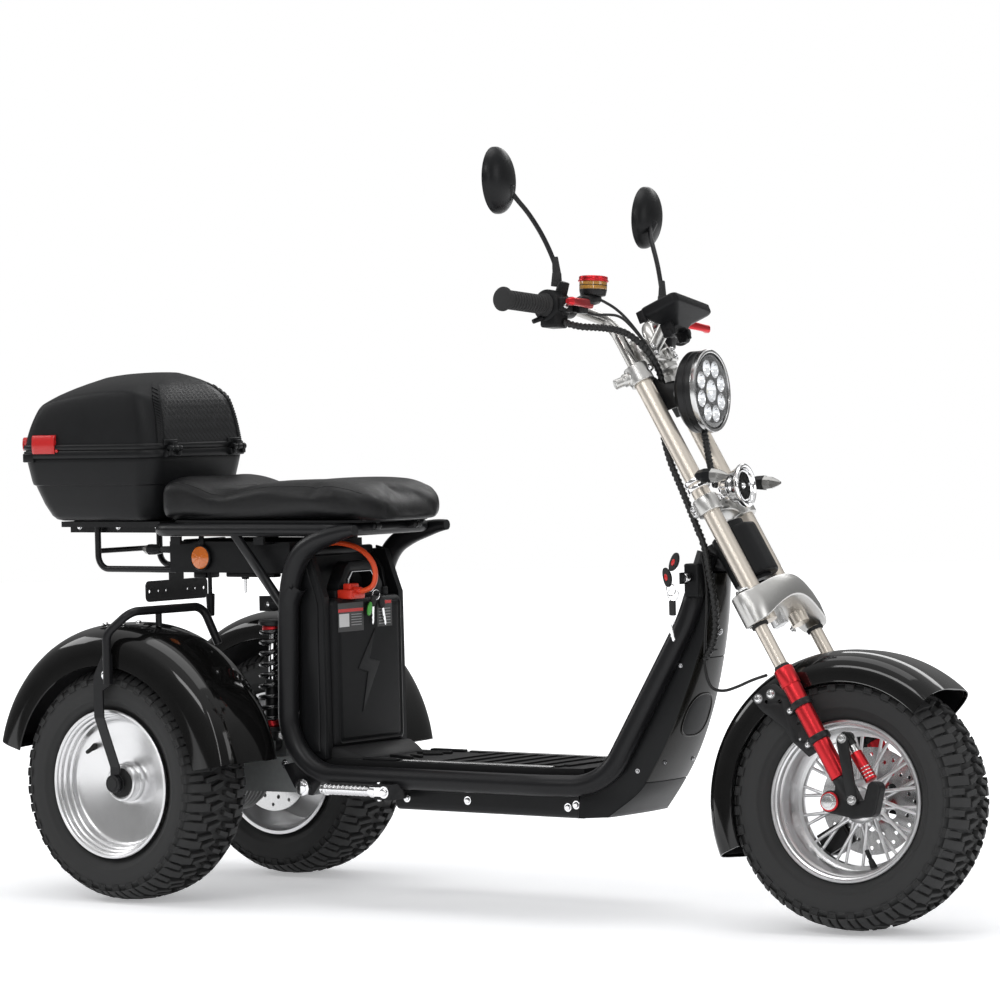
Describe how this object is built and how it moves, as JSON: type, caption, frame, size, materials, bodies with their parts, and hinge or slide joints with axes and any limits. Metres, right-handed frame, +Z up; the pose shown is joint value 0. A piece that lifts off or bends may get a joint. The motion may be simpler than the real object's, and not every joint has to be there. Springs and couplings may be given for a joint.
{
  "type": "electric tricycle",
  "caption": "Electric tricycle with a raked telescopic fork, step-through tubular frame, footboard, long seat, lift-out battery, rear carrier and lidded top box.",
  "frame": {"origin": "on the ground under the middle of the overall length and width", "axes": "+X forward, +Y to the rider's left, +Z up; the steering rests turned 9.8 degrees to the left"},
  "size_m": [2.0414, 0.6912, 1.3485],
  "materials": {
    "black_tube": "satin",
    "swing_grey": "satin",
    "dark_metal": "matte",
    "gloss_black": "high gloss",
    "matte_black": "fine grain",
    "carbon_panel": "woven pattern under clear coat",
    "board_rubber": "ribbed",
    "seat_leather": "soft grained leatherette",
    "tyre_rubber": "matte",
    "polished_rim": "polished",
    "bright_chrome": "bright",
    "satin_silver": "satin",
    "champagne_tube": "satin anodised",
    "red_anodised": "gloss anodised",
    "red_lens": "clear moulded",
    "grip_rubber": "ribbed",
    "cable_black": "smooth",
    "cable_orange": "smooth",
    "steel_bolt": "plain"
  },
  "bodies": {
    "chassis": {"frame": "black_tube", "footboard": "board_rubber", "belly_pan": "matte_black", "leg_shield": "carbon_panel", "neck_cover": "matte_black", "battery_case": "matte_black", "battery_housing": "carbon_panel", "under_seat_box": "matte_black", "rear_rack": "black_tube", "plate_bracket": "black_tube", "rear_lights": "red_lens", "swingarm": "swing_grey", "pivot_bolt": "steel_bolt", "rear_axle": "dark_metal", "rear_shocks": "bright_chrome", "right_rear_fender": "gloss_black", "left_rear_fender": "gloss_black", "fender_braces": "black_tube", "top_box_base": "matte_black", "ignition_lock": "matte_black", "neck_loom": "cable_black", "power_lead": "cable_orange"},
    "steering": {"upper_tubes": "champagne_tube", "lower_clamp": "satin_silver", "middle_clamp": "satin_silver", "fork_legs": "red_anodised", "fork_castings": "dark_metal", "fork_dampers": "red_anodised", "front_axle": "steel_bolt", "front_fender": "gloss_black", "front_caliper": "red_anodised", "handlebar": "bright_chrome", "bar_clamps": "satin_silver", "grips": "grip_rubber", "control_housings": "matte_black", "mirrors": "matte_black", "brake_levers": "red_anodised", "display": "gloss_black", "headlight": "gloss_black", "horn": "bright_chrome", "front_signals": "matte_black", "steering_loom": "cable_black"},
    "front_wheel": {"front_tyre": "tyre_rubber", "front_rim": "polished_rim"},
    "right_rear_wheel": {"right_rear_tyre": "tyre_rubber", "right_rear_rim": "polished_rim"},
    "left_rear_wheel": {"left_rear_tyre": "tyre_rubber", "left_rear_rim": "polished_rim"},
    "box_lid": {"top_box_lid": "matte_black", "box_latch": "red_lens"},
    "seat": {"seat": "seat_leather", "seat_base": "matte_black"},
    "right_footpeg": {"right_footpeg": "bright_chrome"},
    "left_footpeg": {"left_footpeg": "bright_chrome"}
  },
  "joints": [
    {"name": "steering", "type": "hinge", "parent": "chassis", "child": "steering", "pos_m": [0.58117, 0, 0.63975], "axis": [-0.5219, 0, 0.853], "range_deg": [-45, 26], "deforming": ["neck_loom"]},
    {"name": "front_wheel_spin", "type": "hinge", "parent": "steering", "child": "front_wheel", "pos_m": [0.81228, -0.00378, 0.22017], "axis": [-0.1455, 0.9853, -0.089], "continuous": true},
    {"name": "right_rear_wheel_spin", "type": "hinge", "parent": "chassis", "child": "right_rear_wheel", "pos_m": [-0.628, -0.236, 0.22], "axis": [0, 1, 0], "continuous": true},
    {"name": "left_rear_wheel_spin", "type": "hinge", "parent": "chassis", "child": "left_rear_wheel", "pos_m": [-0.628, 0.236, 0.22], "axis": [0, 1, 0], "continuous": true},
    {"name": "box_lid_hinge", "type": "hinge", "parent": "chassis", "child": "box_lid", "pos_m": [-0.639, 0, 0.835], "axis": [0, 1, 0], "range_deg": [0, 80]},
    {"name": "seat_hinge", "type": "hinge", "parent": "chassis", "child": "seat", "pos_m": [-0.184, 0, 0.688], "axis": [0, 1, 0], "range_deg": [0, 60]},
    {"name": "right_footpeg_fold", "type": "hinge", "parent": "chassis", "child": "right_footpeg", "pos_m": [-0.108, -0.162, 0.214], "axis": [0, 0, 1], "range_deg": [0, 85]},
    {"name": "left_footpeg_fold", "type": "hinge", "parent": "chassis", "child": "left_footpeg", "pos_m": [-0.108, 0.162, 0.214], "axis": [0, 0, -1], "range_deg": [0, 85]}
  ]
}
